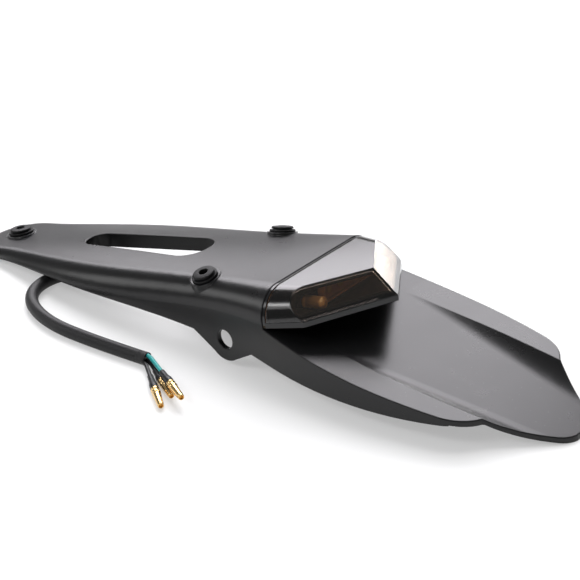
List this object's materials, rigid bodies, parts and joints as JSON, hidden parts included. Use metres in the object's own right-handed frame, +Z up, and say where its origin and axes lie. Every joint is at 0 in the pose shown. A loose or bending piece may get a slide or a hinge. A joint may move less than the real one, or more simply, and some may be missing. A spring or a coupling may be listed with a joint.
{
  "type": "motorcycle rear fender with tail light",
  "caption": "Moulded black rear fender for an off-road motorcycle, with a long slotted tray, sloping tail flap, smoked V-fronted tail light and a short cable with bullet terminals.",
  "frame": {"origin": "on the table, under the middle of the fender's length and width, as it lies in the picture", "axes": "+X to the rear along the fender, +Y to its right, +Z up"},
  "size_m": [0.414, 0.1699, 0.0594],
  "materials": {
    "fender": "satin moulded",
    "grommet": "matt",
    "housing": "gloss",
    "seal": "matt",
    "lens": "smoked gloss",
    "board": "matt",
    "bezel": "satin",
    "led": "gloss",
    "brass": "bright",
    "screw": "satin",
    "gland": "matt",
    "sheath": "matt",
    "wire_green": "satin",
    "wire_black": "satin",
    "sleeve": "satin"
  },
  "bodies": {
    "root": {"fender_body": "fender", "grommet_front": "grommet", "grommet_left": "grommet", "grommet_right": "grommet", "light_base": "housing", "light_gasket": "seal", "tail_lens": "lens", "led_board": "board", "led_bezel": "bezel", "led_1": "led", "led_2": "led", "led_3": "led", "led_4": "led", "insert_left": "brass", "insert_right": "brass", "screw_left": "screw", "screw_right": "screw", "cable_gland": "gland", "cable_sheath": "sheath", "wire_green": "wire_green", "wire_black": "wire_black", "wire_middle": "wire_black", "sleeve_green": "sleeve", "sleeve_black": "sleeve", "sleeve_middle": "sleeve", "bullet_green": "brass", "bullet_black": "brass", "bullet_middle": "brass"}
  },
  "joints": []
}
